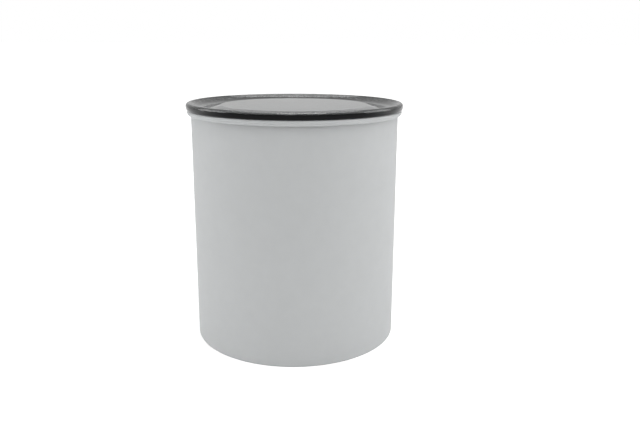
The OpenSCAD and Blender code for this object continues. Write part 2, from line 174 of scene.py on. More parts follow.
def circle(radius, count):
    """Points on a circle."""
    angles = [math.tau * k / count for k in range(count)]
    return [Vector((radius * math.cos(a), radius * math.sin(a), 0)) for a in angles]


# Meshes


def turned(points, turns=TURNS):
    """A mesh made by turning a closed outline about the Z axis."""
    shape = bmesh.new()
    rings = []
    for r, z in points:
        if r < ON_AXIS:
            rings.append([shape.verts.new((0, 0, z))])
        else:
            rings.append([shape.verts.new((p.x, p.y, z)) for p in circle(r, turns)])
    for here, there in zip(rings, rings[1:] + rings[:1]):
        join_rings(shape, here, there)
    return shape


def join_rings(shape, here, there):
    """Faces between two rings of vertices. A ring of one vertex is a pole."""
    count = max(len(here), len(there))
    if len(here) == len(there) == 1:
        return
    for k in range(count):
        n = (k + 1) % count
        corners = [here[k % len(here)], here[n % len(here)], there[n % len(there)], there[k % len(there)]]
        shape.faces.new(list(dict.fromkeys(corners)))


def swept(path, radius, sides=24):
    """A closed round bar along a path. radius is one number or one for each point."""
    shape = bmesh.new()
    radii = radius if isinstance(radius, list) else [radius] * len(path)
    rings = []
    for i, point in enumerate(path):
        along = (path[min(i + 1, len(path) - 1)] - path[max(i - 1, 0)]).normalized()
        side = along.cross(Vector((0, 0, 1))).normalized()
        up = side.cross(along)
        rings.append([shape.verts.new(point + radii[i] * (p.x * side + p.y * up)) for p in circle(1, sides)])
    for here, there in zip(rings, rings[1:]):
        join_rings(shape, here, there)
    shape.faces.new(rings[0])
    shape.faces.new(rings[-1])
    return shape


def prism(points, bottom, top, bevel=0.0):
    """A flat outline in X and Y, pulled up from bottom to top, with its rims bevelled."""
    shape = bmesh.new()
    lower = [shape.verts.new((x, y, bottom)) for x, y in points]
    upper = [shape.verts.new((x, y, top)) for x, y in points]
    join_rings(shape, lower, upper)
    rims = [shape.faces.new(lower), shape.faces.new(upper)]
    if bevel:
        edges = {e for f in rims for e in f.edges}
        bmesh.ops.bevel(shape, geom=list(edges), offset=bevel, segments=3, profile=0.5, affect="EDGES")
    return shape


def placed(shape, *places):
    """The mesh moved by each matrix, all copies in one mesh."""
    whole = bmesh.new()
    copy = bpy.data.meshes.new("copy")
    for place in places:
        moved = shape.copy()
        moved.transform(place)
        moved.to_mesh(copy)
        whole.from_mesh(copy)
        moved.free()
    bpy.data.meshes.remove(copy)
    return whole


def joined(*shapes):
    """Several meshes in one, without joining their surfaces."""
    whole = bmesh.new()
    copy = bpy.data.meshes.new("copy")
    for shape in shapes:
        shape.to_mesh(copy)
        whole.from_mesh(copy)
    bpy.data.meshes.remove(copy)
    return whole


def tidy(shape):
    """Faces turned outward."""
    bmesh.ops.recalc_face_normals(shape, faces=shape.faces)
    return shape


def combine(shape, other, operation):
    """The mesh cut by, or fused with, another closed mesh."""
    both = []
    for part in (shape, other):
        mesh = bpy.data.meshes.new("part")
        tidy(part).to_mesh(mesh)
        both.append(bpy.data.objects.new("part", mesh))
        bpy.context.scene.collection.objects.link(both[-1])
    boolean = both[0].modifiers.new("combine", "BOOLEAN")
    boolean.operation = operation
    boolean.solver = "EXACT"
    boolean.object = both[1]
    graph = bpy.context.evaluated_depsgraph_get()
    result = bmesh.new()
    result.from_mesh(both[0].evaluated_get(graph).to_mesh())
    for part in both:
        mesh = part.data
        bpy.data.objects.remove(part)
        bpy.data.meshes.remove(mesh)
    return result


def cut(shape, other):
    """The mesh with another closed mesh taken out of it."""
    return combine(shape, other, "DIFFERENCE")


def fused(shape, other):
    """The mesh and another closed mesh as one closed surface."""
    return combine(shape, other, "UNION")


def piece(name, shape, body, slot, *materials):
    """Turns a mesh in millimetres into a shown piece that rides on a body and stands for its CAD node."""
    tidy(shape)
    shape.transform(Matrix.Scale(MM, 4))
    mesh = bpy.data.meshes.new(f"{name}_visual")
    shape.to_mesh(mesh)
    shape.free()
    mesh.shade_smooth()
    mesh.set_sharp_from_angle(angle=SHARP_ANGLE)
    for material in materials:
        mesh.materials.append(material)
    made = bpy.data.objects.new(mesh.name, mesh)
    bpy.context.scene.collection.objects.link(made)
    weighted = made.modifiers.new("flat faces stay flat", "WEIGHTED_NORMAL")
    weighted.keep_sharp = True
    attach(made, body)
    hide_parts(name)
    return made


def move(x=0.0, y=0.0, z=0.0):
    """The matrix of a shift."""
    return Matrix.Translation((x, y, z))


def turn(degrees, axis="Z"):
    """The matrix of a turn about an axis."""
    return Matrix.Rotation(math.radians(degrees), 4, axis)


def around(count, radius, first=0.0):
    """Places on a circle, each turned to face outward."""
    return [turn(first + 360 * k / count) @ move(x=radius) for k in range(count)]


along_x = turn(90, "Y")
flip_x = Matrix.Scale(-1, 4, (1, 0, 0))
# Stands a prism up: its outline's X and Y go to Y and Z, and its thickness goes along X.
standing = Matrix(((0, 0, 1, 0), (1, 0, 0, 0), (0, 1, 0, 0), (0, 0, 0, 1)))
on_plunger = move(z=plunger_z)
on_shaft = move(z=shaft_z)


def both_sides(shape):
    """The mesh and its mirror image across the canister."""
    return placed(shape, Matrix.Identity(4), flip_x)


def rod(radius, length, rounding=0.2, turns=SMALL_TURNS, bore=0.0):
    """A round bar or tube that stands on z = 0, with rounded ends."""
    if bore:
        return turned(outline((bore, 0, rounding / 2), (radius, 0, rounding), (radius, length, rounding),
                              (bore, length, rounding / 2)), turns)
    return turned(outline((0, 0), (radius, 0, rounding), (radius, length, rounding), (0, length)), turns)


def cutter(radius, bottom, top, turns=SMALL_TURNS):
    """A straight round bar to cut a hole with."""
    return turned([(0, bottom), (radius, bottom), (radius, top), (0, top)], turns)


def rectangle(half_x, low_y, high_y, corner):
    """A rounded rectangle, centred across X."""
    return outline((-half_x, low_y, corner), (half_x, low_y, corner), (half_x, high_y, corner),
                   (-half_x, high_y, corner))


# Materials


class Surface:
    """A procedural material: one Principled shader, with patterns for its colour, roughness and bump."""

    def __init__(self, name, color, roughness, **sockets):
        self.material = bpy.data.materials.new(name)
        self.material.use_nodes = True
        self.tree = self.material.node_tree
        self.shader = self.tree.nodes["Principled BSDF"]
        self.shader.inputs["Base Color"].default_value = (*color, 1)
        self.shader.inputs["Roughness"].default_value = roughness
        for socket, value in sockets.items():
            self.shader.inputs[socket.replace("_", " ")].default_value = value
        self.place = self.node("ShaderNodeTexCoord").outputs["Object"]

    def node(self, kind, **settings):
        """A new node with its settings."""
        made = self.tree.nodes.new(kind)
        for key, value in settings.items():
            setattr(made, key, value)
        return made

    def link(self, source, target):
        """A link from one socket to another."""
        self.tree.links.new(source, target)

    def stretched(self, source, scales):
        """Coordinates with their own scale along each axis."""
        mapping = self.node("ShaderNodeMapping")
        mapping.inputs["Scale"].default_value = scales
        self.link(source, mapping.inputs["Vector"])
        return mapping.outputs["Vector"]

    def rings(self):
        """Coordinates of height and of distance from the canister's axis."""
        split = self.node("ShaderNodeSeparateXYZ")
        self.link(self.place, split.inputs[0])
        flat = self.node("ShaderNodeCombineXYZ")
        self.link(split.outputs["X"], flat.inputs["X"])
        self.link(split.outputs["Y"], flat.inputs["Y"])
        length = self.node("ShaderNodeVectorMath", operation="LENGTH")
        self.link(flat.outputs[0], length.inputs[0])
        both = self.node("ShaderNodeCombineXYZ")
        self.link(length.outputs["Value"], both.inputs["X"])
        self.link(split.outputs["Z"], both.inputs["Z"])
        return both.outputs[0]

    def noise(self, size_mm, detail=2.0, place=None):
        """Noise with features of about the given size."""
        made = self.node("ShaderNodeTexNoise")
        made.inputs["Scale"].default_value = 1 / (size_mm * MM)
        made.inputs["Detail"].default_value = detail
        self.link(place or self.place, made.inputs["Vector"])
        return made.outputs["Fac"]

    def between(self, pattern, lowest, highest):
        """A pattern of 0.3 to 0.7 spread over a range of values."""
        spread = self.node("ShaderNodeMapRange")
        spread.inputs["From Min"].default_value = 0.3
        spread.inputs["From Max"].default_value = 0.7
        spread.inputs["To Min"].default_value = lowest
        spread.inputs["To Max"].default_value = highest
        self.link(pattern, spread.inputs["Value"])
        return spread.outputs["Result"]

    def rough(self, pattern, lowest, highest):
        """Roughness that varies over a range."""
        self.link(self.between(pattern, lowest, highest), self.shader.inputs["Roughness"])

    def tint(self, pattern, share):
        """Colour that varies by the given share, lighter and darker."""
        color = tuple(self.shader.inputs["Base Color"].default_value)[:3]
        mix = self.node("ShaderNodeMix", data_type="RGBA")
        mix.inputs["A"].default_value = (*(c * (1 - share) for c in color), 1)
        mix.inputs["B"].default_value = (*(c * (1 + share) for c in color), 1)
        self.link(self.between(pattern, 0, 1), mix.inputs["Factor"])
        self.link(mix.outputs["Result"], self.shader.inputs["Base Color"])

    def bump(self, pattern, depth_mm):
        """Relief of a given depth, on top of any before it."""
        made = self.node("ShaderNodeBump")
        made.inputs["Distance"].default_value = depth_mm * MM
        self.link(pattern, made.inputs["Height"])
        before = self.shader.inputs["Normal"].links
        if before:
            self.link(before[0].from_socket, made.inputs["Normal"])
        self.link(made.outputs["Normal"], self.shader.inputs["Normal"])


def powder_coat():
    """Matt light grey powder coat with a fine grain."""
    s = Surface("powder_coat", (0.50, 0.512, 0.516), 0.55, Specular_IOR_Level=0.35)
    s.tint(s.noise(9, 3), 0.012)
    s.rough(s.noise(0.9, 2), 0.50, 0.60)
    s.bump(s.noise(0.35, 2), 0.012)
    return s.material


def brushed_steel(name, scales, in_circles=False):
    """Stainless steel with fine lines, close together along the axes of large scale.

    In circles, the first axis is the distance from the canister's axis.
    """
    s = Surface(name, (0.60, 0.60, 0.59), 0.34, Metallic=1.0)
    source = s.rings() if in_circles else s.place
    lines = s.noise(1, 3, s.stretched(source, scales))
    s.rough(lines, 0.26, 0.42)
    s.tint(lines, 0.05)
    s.bump(lines, 0.004)
    return s.material


def smoke_clear():
    """Polished clear plastic with a smoke tint. Lamps shine through it to what it covers."""
    s = Surface("smoke_tinted_plastic", (0.50, 0.51, 0.51), 0.05, IOR=1.5, Transmission_Weight=0.89)
    s.rough(s.noise(30, 1), 0.04, 0.06)
    clear = s.node("ShaderNodeBsdfTransparent")
    clear.inputs["Color"].default_value = (0.55, 0.56, 0.57, 1)
    path = s.node("ShaderNodeLightPath")
    light = s.node("ShaderNodeMath", operation="MAXIMUM")
    s.link(path.outputs["Is Shadow Ray"], light.inputs[0])
    s.link(path.outputs["Is Diffuse Ray"], light.inputs[1])
    mix = s.node("ShaderNodeMixShader")
    s.link(light.outputs[0], mix.inputs["Fac"])
    s.link(s.shader.outputs[0], mix.inputs[1])
    s.link(clear.outputs[0], mix.inputs[2])
    s.link(mix.outputs[0], s.tree.nodes["Material Output"].inputs["Surface"])
    return s.material


def black_rubber():
    """Smooth black elastomer of the sealing ring."""
    s = Surface("ring_rubber", (0.003, 0.003, 0.0035), 0.1, Specular_IOR_Level=0.12)
    s.rough(s.noise(6, 3), 0.08, 0.14)
    s.bump(s.noise(3, 2), 0.003)
    return s.material


def grained_plastic(name, color, roughness=0.5):
    """Moulded plastic with a fine spark-eroded grain."""
    s = Surface(name, color, roughness)
    s.tint(s.noise(5, 2), 0.05)
    s.rough(s.noise(0.8, 2), roughness - 0.06, roughness + 0.06)
    s.bump(s.noise(0.45, 2), 0.018)
    return s.material


def silicone():
    """Pale translucent silicone."""
    s = Surface("pale_silicone", (0.55, 0.55, 0.53), 0.42, Subsurface_Weight=0.35, Subsurface_Scale=0.002)
    s.tint(s.noise(8, 2), 0.03)
    s.rough(s.noise(2, 2), 0.36, 0.50)
    s.bump(s.noise(1.2, 2), 0.01)
    return s.material


def turned_steel(name, color, size_mm=0.5):
    """Machined stainless steel with faint tool marks."""
    s = Surface(name, color, 0.24, Metallic=1.0)
    marks = s.noise(size_mm, 3)
    s.rough(marks, 0.20, 0.27)
    s.tint(marks, 0.02)
    s.bump(marks, 0.001)
    return s.material


powder = powder_coat()
drum_steel = brushed_steel("brushed_wall", (0.02, 0.02, 6))
pan_steel = brushed_steel("brushed_base", (5, 0, 0.5), in_circles=True)
smoke = smoke_clear()
rubber = black_rubber()
charcoal = grained_plastic("charcoal_plastic", (0.060, 0.062, 0.066))
handle_plastic = grained_plastic("handle_plastic", (0.055, 0.057, 0.060), 0.44)
natural_plastic = grained_plastic("natural_acetal", (0.62, 0.61, 0.58), 0.40)
bush_plastic = grained_plastic("bush_acetal", (0.62, 0.60, 0.54), 0.40)
pale_silicone = silicone()
steel = turned_steel("turned_steel", (0.66, 0.66, 0.65))
wire_steel = turned_steel("wire_steel", (0.55, 0.55, 0.54), 0.2)
filter_steel = turned_steel("woven_steel", (0.50, 0.50, 0.49), 0.15)


# Canister


def canister_wall():
    """Drum with a turned-in foot and a rolled lip. It is coated outside and bare inside."""
    foot_in_r, foot_round, lip_round, roll_off, coat_depth = 81.2, 1, 1.1, 0.3, 1.6
    curl_r = (lip_r - sheet_t - canister_r) / 2
    roll_r = canister_r + roll_off
    roll_round = lip_r - roll_r
    roll_z = lip_foot + roll_round
    round_z = canister_top - lip_round
    shape = turned(outline(
        (foot_in_r, sheet_t, 0.2), (foot_in_r, 0, 0.3),
        *arc(canister_r - foot_round, foot_round, foot_round, -90, 0),
        *arc(canister_r + curl_r, canister_top - sheet_t - curl_r, curl_r, 180, 15),
        *arc(roll_r, roll_z, roll_round - sheet_t, 0, -88), *arc(roll_r, roll_z, roll_round, -88, 0, 12),
        *arc(lip_r - lip_round, round_z, lip_round, 10, 90),
        *arc(wall_in_r + lip_round, round_z, lip_round, 90, 180), (wall_in_r, sheet_t)))
    wall = piece("canister_wall", shape, "canister", "coated_steel", powder, drum_steel)
    bare_r = (canister_r - sheet_t / 2) * MM
    bare_top = (canister_top - coat_depth) * MM
    for face in wall.data.polygons:
        x, y, z = face.center
        face.material_index = int(math.hypot(x, y) < bare_r and z < bare_top)


def canister_base():
    """Sheet pan with its floor raised off the table."""
    rim_w, step_w, rise = 5, 4, 2.2
    tight, wide = 1.6, 2.4
    rim_r = wall_in_r - wall_clear
    step_r = rim_r - rim_w
    floor_r = step_r - step_w
    rim_z, floor_z = sheet_t, sheet_t + rise
    piece("canister_base", turned(outline(
        (0, floor_z), (floor_r, floor_z, tight), (step_r, rim_z, wide), (rim_r, rim_z, 0.2),
        (rim_r, rim_z + sheet_t, 0.3), (step_r, rim_z + sheet_t, tight), (floor_r, floor_z + sheet_t, wide),
        (0, floor_z + sheet_t))), "canister", "base_steel", pan_steel)


# Outer lid


panel_t = 2
edge_w, bowl_w, slope_w = 3.9, 13.6, 11.1
bowl_out_r = lid_r - edge_w
bowl_low_r = bowl_out_r - bowl_w
plateau_r = bowl_low_r - slope_w
bowl_depth, plateau_drop = 5, 2.2
bowl_round = (bowl_w ** 2 + bowl_depth ** 2) / (2 * bowl_depth)
edge_round, edge_h = 2.4, 2.1
edge_end = math.asin(1 - edge_h / edge_round)
ring_in_r, skirt_out_r, skirt_in_r, skirt_root = 87, 83.4, 81.6, 4.7
lid_rise = lid_top - canister_top
plug_foot = -lid_rise - 6


def bowl(start, end, under=0.0, steps=16):
    """Points of the concave bowl, or of the line that runs a thickness under it."""
    points = []
    for further in steps_to(end - start, steps):
        r = start + further
        z = bowl_round - bowl_depth - math.sqrt((bowl_round + under) ** 2 - (r - bowl_low_r) ** 2)
        points.append((r, z))
    return points


def lid_panel():
    """Clear panel: rounded rim, concave bowl, raised flat centre and a hanging skirt."""
    bowl_start, under_start, under_z = bowl_low_r + 1.5, skirt_in_r - 0.5, -plateau_drop - panel_t
    top = [(0, -plateau_drop), (plateau_r, -plateau_drop, 3), (bowl_low_r, -bowl_depth, 6)]
    top += bowl(bowl_start, bowl_out_r)
    edge = arc(lid_r - edge_round, -edge_round, edge_round, 90, math.degrees(edge_end), 10)
    skirt = [(ring_in_r, -edge_h, 0.2), (skirt_out_r, -skirt_root, 0.5), (skirt_out_r, plug_foot, 0.4),
             (skirt_in_r, plug_foot, 0.4)]
    under = bowl(under_start, bowl_low_r, panel_t) + [(plateau_r - 1, under_z, 3), (0, under_z)]
    shape = turned(lifted(outline(*top, *edge, *skirt, *under), lid_top))
    piece("lid_panel", shape, "outer_lid", "smoke_clear", smoke)


def lid_ring():
    """Black ring that shows under the lid's edge, sits on the lip and plugs the mouth with two ribs."""
    plug_out_r, rib, rib_depths = 84.4, 0.5, (1.9, 4.1)
    draft, top_z, side_z = 0.6, -edge_round - 0.1, -4.4
    edge_r = lid_r - edge_round + edge_round * math.cos(edge_end)
    outside = [(ring_in_r, -edge_h), (edge_r, -edge_h), (lid_r, top_z, 0.5), (lid_r - draft / 4, side_z, 3),
               (lid_r - draft, -lid_rise, 0.7), (plug_out_r, -lid_rise, 0.3)]
    ribs = []
    for depth in rib_depths:
        z = -lid_rise - depth
        ribs += [(plug_out_r, z + 2 * rib, 0.3), (plug_out_r + rib, z + rib / 2, 0.2),
                 (plug_out_r + rib, z - rib / 2, 0.2), (plug_out_r, z - 2 * rib, 0.3)]
    inside = [(plug_out_r, plug_foot, 0.4), (skirt_out_r, plug_foot, 0.2), (skirt_out_r, -skirt_root)]
    shape = turned(lifted(outline(*outside, *ribs, *inside), lid_top))
    piece("lid_ring", shape, "outer_lid", "black_rubber", rubber)


# Plunger


plate_screw_places = around(4, 62, 45)
housing_screw_places = around(3, 20.25, 90)
screw_r = 1.5
screw_hole_r = screw_r + run_clear
boss_r = 4
through = 50  # more than half the length of any bore along X


def holes(places, radius, bottom, top, turns=SMALL_TURNS):
    """Straight round cutters at places on the plunger."""
    return placed(cutter(radius, bottom, top, turns), *places)


def bosses(places, bottom, height, rounding):
    """Round bosses at places on the plunger."""
    return placed(rod(boss_r, height, rounding), *(place @ move(z=bottom) for place in places))


def upright(half_x, half_y, low_z, high_z, foot=1.8, rim=0.6, round_top=False):
    """Upright bar on the deck with a rounded rim and a foot that runs out in a fillet.

    With round_top it ends in a half circle of half_y about the height high_z.
    """
    quarter, nearly_quarter = math.pi / 2, 1.5
    slices = [(foot, 0, low_z - 1)]
    for a in steps_to(quarter, 6):
        slices.append((foot * (1 - math.sin(a)), 0, low_z + foot * (1 - math.cos(a))))
    if round_top:
        for a in steps_to(nearly_quarter, 16):
            slices.append((0, half_y * (1 - math.cos(a)), high_z + half_y * math.sin(a)))
    else:
        for a in steps_to(quarter, 4):
            slices.append((-rim * (1 - math.cos(a)), 0, high_z - rim * (1 - math.sin(a))))
    shape = bmesh.new()
    rings = []
    for spread, narrowing, z in slices:
        x, y = half_x + spread, half_y + spread - narrowing
        corner = min(rim + max(spread, 0), x * 0.8, y * 0.8)
        rings.append([shape.verts.new((px, py, z)) for px, py in rectangle(x, -y, y, corner)])
    for here, there in zip(rings, rings[1:]):
        join_rings(shape, here, there)
    shape.faces.new(rings[0])
    shape.faces.new(rings[-1])
    return shape


def plunger_deck():
    """Dish with the valve's bore, the bearing ears and the rest for the folded handle."""
    bore_r, collar_r, wall_in, rim_z = seat_out_r + run_clear, 13.9, moulding_r - 2.4, 30.4
    ear_half_y, post_half_x, post_half_y, post_top = 7, 6, 4, 31.2
    boss_foot, boss_h, boss_hole_foot = 5, 4, 6
    axis_z = shaft_z - plunger_z
    shape = turned(outline(
        (bore_r, deck_z, 0.2), (moulding_r, deck_z, 0.3), (moulding_r, rim_z, 0.9), (wall_in, rim_z, 0.6),
        (wall_in, deck_floor, 2.0), (collar_r, deck_floor, 0.2), (collar_r, seat_land, 0.3),
        (bore_r, seat_land, 0.3)))
    ear = placed(upright(ear_t / 2, ear_half_y, deck_floor, axis_z, round_top=True), move(x=ear_x))
    shape = fused(shape, both_sides(ear))
    shape = fused(shape, placed(upright(post_half_x, post_half_y, deck_floor, post_top), move(y=bail_y)))
    shape = fused(shape, bosses(housing_screw_places, boss_foot, boss_h, 0.4))
    shape = cut(shape, holes(plate_screw_places, screw_hole_r, deck_z - past, deck_floor + past))
    shape = cut(shape, holes(housing_screw_places, screw_hole_r, boss_hole_foot, deck_floor + past))
    shape = cut(shape, placed(cutter(bush_r + run_clear, -through, through), move(z=axis_z) @ along_x))
    piece("plunger_deck", placed(shape, on_plunger), "plunger", "dark_plastic", charcoal)


def plunger_plate():
    """Lower plate with vent holes, screw bosses and a rim round the filter."""
    rim_in_r, filter_r, fence_r, fence_top = moulding_r - 4, 15.3, 16.5, plate_t + 1.2
    boss_foot, boss_h, boss_hole_foot, vent_r = 1, 7, 3.4, 1.6
    vent_places = around(6, 5) + around(12, 10.5, 15)
    shape = turned(outline(
        (0, 0), (moulding_r, 0, 1.2), (moulding_r, web_low, 0.2), (rim_in_r, web_low, 0.3),
        (rim_in_r, plate_t, 1.0), (fence_r, plate_t, 0.3), (fence_r, fence_top, 0.3),
        (filter_r, fence_top, 0.3), (filter_r, plate_t, 0.2), (0, plate_t)))
    shape = fused(shape, bosses(plate_screw_places, boss_foot, boss_h, 0.2))
    shape = cut(shape, holes(plate_screw_places, screw_hole_r, boss_hole_foot, boss_foot + boss_h + past))
    shape = cut(shape, holes(vent_places, vent_r, -past, plate_t + past, turns=32))
    piece("plunger_plate", placed(shape, on_plunger), "plunger", "dark_plastic", charcoal)


def wiper_gasket():
    """Silicone wiper with two curved lips that spread to the drum's wall."""
    root_r, tip_r, tip_t, reach = moulding_r - 4, moulding_r + 4.9, 0.8, 5
    bend_r, heel_r = moulding_r + tip_t, tip_r - 2.45
    low_tip, high_tip = web_low - reach, web_high + reach
    shape = outline(
        (root_r, web_low, 0.2), (bend_r, web_low, 1.5), (tip_r - tip_t, low_tip, 0.3),
        (tip_r, low_tip, 0.3), (tip_r, low_tip + 1, 0.3), (heel_r, web_low + 1, 1.2),
        (tip_r, high_tip - 1, 0.3), (tip_r, high_tip, 0.3), (tip_r - tip_t, high_tip, 0.3),
        (bend_r, web_high, 1.5), (root_r, web_high, 0.2))
    piece("wiper_gasket", placed(turned(shape), on_plunger), "plunger", "silicone", pale_silicone)


def pan_screw(length):
    """Pan head with a six-sided socket over a straight shank. The head stands on z = 0."""
    head_r, flat_r, head_h, side_h, socket_r, socket_z = 2.8, 1.9, 2, 1.2, 1.2, 0.8
    head = turned(outline(
        (0, -length), (screw_r, -length, 0.4), (screw_r, 0), (head_r, 0, 0.15), (head_r, side_h, 0.5),
        (flat_r, head_h, 0.3), (0, head_h)), SMALL_TURNS)
    corners = [(p.x, p.y) for p in circle(socket_r, 6)]
    return cut(head, prism(corners, socket_z, head_h + past))


def screws(name, places, height, length):
    """A set of like screws, as one piece."""
    shape = placed(pan_screw(length), *(on_plunger @ place @ move(z=height) for place in places))
    piece(name, shape, "plunger", "bright_steel", steel)


def vent_filter():
    """Woven wire disc in a crimped ring."""
    disc_r, disc_t, pitch, wire_r, wave_h = 15, 0.5, 1.2, 0.11, 0.12
    rim_in_r, weave_r, wire_end_r = 14.1, 14.2, 14.4
    steps_per_pitch, fewest_steps = 6, 8
    rim = turned(outline(
        (rim_in_r, 0, 0.2), (disc_r, 0, 0.2), (disc_r, disc_t, 0.2), (rim_in_r, disc_t, 0.2)))
    wires = []
    count = int(weave_r / pitch)
    for i in range(-count, count + 1):
        across = i * pitch
        half = math.sqrt(wire_end_r ** 2 - across ** 2)
        steps = max(fewest_steps, round(2 * half / pitch * steps_per_pitch))
        path = []
        for step in steps_to(2 * half, steps):
            along = step - half
            wave = wave_h * math.cos(math.pi * (along / pitch + i))
            path.append(Vector((along, across, disc_t / 2 + wave)))
        wires.append(swept(path, wire_r, 6))
        over = [Vector((-p.y, p.x, disc_t - p.z)) for p in path]
        wires.append(swept(over, wire_r, 6))
    shape = joined(rim, *wires)
    piece("vent_filter", placed(shape, on_plunger @ move(z=plate_t)), "plunger", "filter_steel", filter_steel)


def valve_seat():
    """Turned seat with the raised lip that the plug closes on."""
    bore_r, lip_out_r, flange_r, flange_z = 7.5, 9, 13.5, deck_z - 1
    shape = turned(outline(
        (bore_r, flange_z, 0.2), (flange_r, flange_z, 0.2), (flange_r, deck_z, 0.1),
        (seat_out_r, deck_z, 0.1), (seat_out_r, seat_land, 0.3), (lip_out_r, seat_land, 0.2),
        (lip_out_r, seat_top, 0.25), (bore_r, seat_top, 0.25)), turns=96)
    piece("valve_seat", placed(shape, on_plunger), "plunger", "bright_steel", steel)


def valve_housing():
    """Screwed-down tower with six air windows, which guides the stem and holds the spring."""
    bore_r, body_r, flange_r, top = 14.2, 16.5, 24, 26
    window_half_w, window_foot, window_top, window_in_r, window_deep = 3.5, 13.8, 20.8, 12.5, 6
    shape = turned(outline(
        (bore_r, deck_floor, 0.2), (flange_r, deck_floor, 0.2), (flange_r, flange_top, 0.7),
        (body_r, flange_top, 0.8), (body_r, top, 1.6), (stem_hole_r, top, 0.3),
        (stem_hole_r, spring_ceiling, 0.2), (bore_r, spring_ceiling, 1.0)), turns=144)
    window = prism(rectangle(window_half_w, window_foot, window_top, 1), 0, window_deep)
    shape = cut(shape, placed(window, *(place @ standing for place in around(6, window_in_r))))
    shape = cut(shape, holes(housing_screw_places, screw_hole_r, deck_floor - past, flange_top + past))
    piece("valve_housing", placed(shape, on_plunger), "plunger", "dark_plastic", charcoal)


# Valve


def valve_stem():
    """Stem with a flange over the plug, a clip groove, and a yoke round the cam."""
    foot_z, root_z, flange_z, flange_r, groove_r = 10.1, 28, seat_top + plug_h, 6, 1.9
    half_w, low_z, high_z, rim, half_t = 9.02, 27, 40.8, 2.4, 3
    shape = turned(outline(
        (0, foot_z), (stem_r, foot_z, 0.4), (stem_r, groove_foot), (groove_r, groove_foot),
        (groove_r, seat_top), (stem_r, seat_top), (stem_r, flange_z), (flange_r, flange_z, 0.2),
        (flange_r, spring_foot, 0.3), (stem_r, spring_foot, 0.4), (stem_r, root_z),
        (0, root_z)), SMALL_TURNS)
    yoke = prism(rectangle(half_w, low_z, high_z, 2), -half_t, half_t, 0.4)
    window = prism(rectangle(half_w - rim, low_z + rim, high_z - rim, 1), -half_t - past, half_t + past)
    shape = cut(fused(shape, placed(yoke, standing)), placed(window, standing))
    piece("valve_stem", placed(shape, on_plunger), "valve", "stem_plastic", natural_plastic)


def valve_plug():
    """Silicone plug under the stem's flange."""
    plug_r, rounding = 10.5, 0.5
    shape = rod(plug_r, plug_h, rounding, turns=96, bore=stem_hole_r)
    piece("valve_plug", placed(shape, on_plunger @ move(z=seat_top)), "valve", "silicone", pale_silicone)


def stem_clip():
    """Snap clip: an open ring with three prongs in the stem's groove."""
    outer_r, inner_r, relief_r = 4.8, 1.95, 3.1
    opening, half_prong, outer_step, inner_step = 32, 14, 8, 4
    end = 360 - opening
    prongs = (opening + half_prong, 180, end - half_prong)
    outer = arc(0, 0, outer_r, opening, end, (end - opening) // outer_step)
    inner = []
    for a in range(end, opening - 1, -inner_step):
        at_prong = min(abs(a - middle) for middle in prongs) <= half_prong
        r = inner_r if at_prong else relief_r
        inner.append((r * math.cos(math.radians(a)), r * math.sin(math.radians(a))))
    shape = prism(outer + inner, groove_foot + run_clear, seat_top - run_clear, 0.1)
    piece("stem_clip", placed(shape, on_plunger), "valve", "bright_steel", steel)


def valve_spring():
    """One wire wound round the stem, with a closed coil at each end."""
    mean_r, wire_r, turns, end_turns, steps = 4.3, 0.4, 5.5, 0.9, 36
    low_z, high_z = spring_foot + run_clear, spring_ceiling - run_clear
    path = []
    closed_rise = 2 * wire_r * end_turns
    active = turns - 2 * end_turns
    travel = high_z - low_z - 2 * wire_r - 2 * closed_rise
    for k in range(round(turns * steps) + 1):
        t = k / steps
        if t < end_turns:
            rise = t * 2 * wire_r
        elif t > turns - end_turns:
            rise = closed_rise + travel + (t - turns + end_turns) * 2 * wire_r
        else:
            rise = closed_rise + travel * (t - end_turns) / active
        angle = math.tau * t
        path.append(Vector((mean_r * math.cos(angle), mean_r * math.sin(angle), low_z + wire_r + rise)))
    shape = placed(swept(path, wire_r, 12), on_plunger)
    made = piece("valve_spring", shape, "plunger", "bright_steel", wire_steel)
    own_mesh(made)


# Handle


def handle_bail():
    """Round bar bent to a loop, with a hub at each end."""
    corner = 16
    root_ys, root_radii = (0, -6, -9, -12, -16), [4.4, 4.4, 4.3, 4.1]
    side = [Vector((arm_x, y, 0)) for y in root_ys]
    for a in steps_to(math.pi / 2, 16):
        side.append(Vector((arm_x - corner * (1 - math.cos(a)), bail_y + corner * (1 - math.sin(a)), 0)))
    radii = root_radii + [bar_r] * (len(side) - len(root_radii))
    path = side + [Vector((-p.x, p.y, 0)) for p in reversed(side)]
    shape = swept(path, radii + radii[::-1], sides=32)
    hub = placed(rod(hub_r, hub_l, 0.9), move(x=arm_x - hub_l / 2) @ along_x)
    shape = fused(shape, both_sides(hub))
    shape = cut(shape, placed(cutter(shaft_hole_r, -through, through), along_x))
    pin_hole = cutter(pin_r + run_clear, -hub_r - past, hub_r + past, turns=24)
    shape = cut(shape, placed(pin_hole, move(x=arm_x), move(x=-arm_x)))
    piece("handle_bail", placed(shape, on_shaft), "handle", "dark_plastic", handle_plastic)


def cam_shaft():
    """Steel shaft with the cam that lifts the stem's yoke."""
    cam_l = 8
    shaft = placed(rod(shaft_r, 2 * hub_out_x, 0.4), move(x=-hub_out_x) @ along_x)
    cam = placed(rod(cam_r, cam_l, 0.4), move(x=-cam_l / 2, y=-cam_throw, z=-cam_throw) @ along_x)
    piece("cam_shaft", placed(fused(shaft, cam), on_shaft), "handle", "bright_steel", steel)


